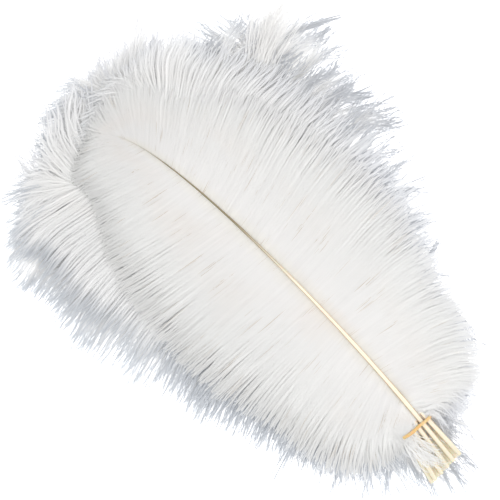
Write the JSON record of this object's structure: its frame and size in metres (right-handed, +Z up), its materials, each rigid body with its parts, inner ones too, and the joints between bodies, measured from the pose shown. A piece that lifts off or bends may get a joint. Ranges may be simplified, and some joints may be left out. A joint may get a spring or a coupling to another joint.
{
  "type": "bunch of ostrich feathers",
  "caption": "Bunch of long white ostrich plumes held at the quills by a tan rubber band, fanned over each other and lying flat, for decoration and costume work",
  "frame": {"origin": "middle of the underside of the bunch's box, on the surface it lies on", "axes": "+Y runs from the cut quills to the tips of the plumes, +X to the right seen from above with the tips pointing away, +Z up from the surface"},
  "size_m": [0.3226, 0.4332, 0.047],
  "materials": {
    "plume": "bleached white ostrich barbs, soft and matt, cooler and greyer at the tips",
    "quill": "cream keratin shaft, smooth and faintly glossy, olive brown towards the tip",
    "rubber": "tan rubber band, matt"
  },
  "bodies": {
    "root": {"feather_1": "plume", "feather_2": "plume", "feather_3": "plume", "feather_4": "plume", "feather_5": "plume", "feather_6": "plume", "feather_7": "plume", "feather_8": "plume", "feather_9": "plume", "feather_10": "plume", "rubber_band": "rubber"}
  },
  "joints": []
}
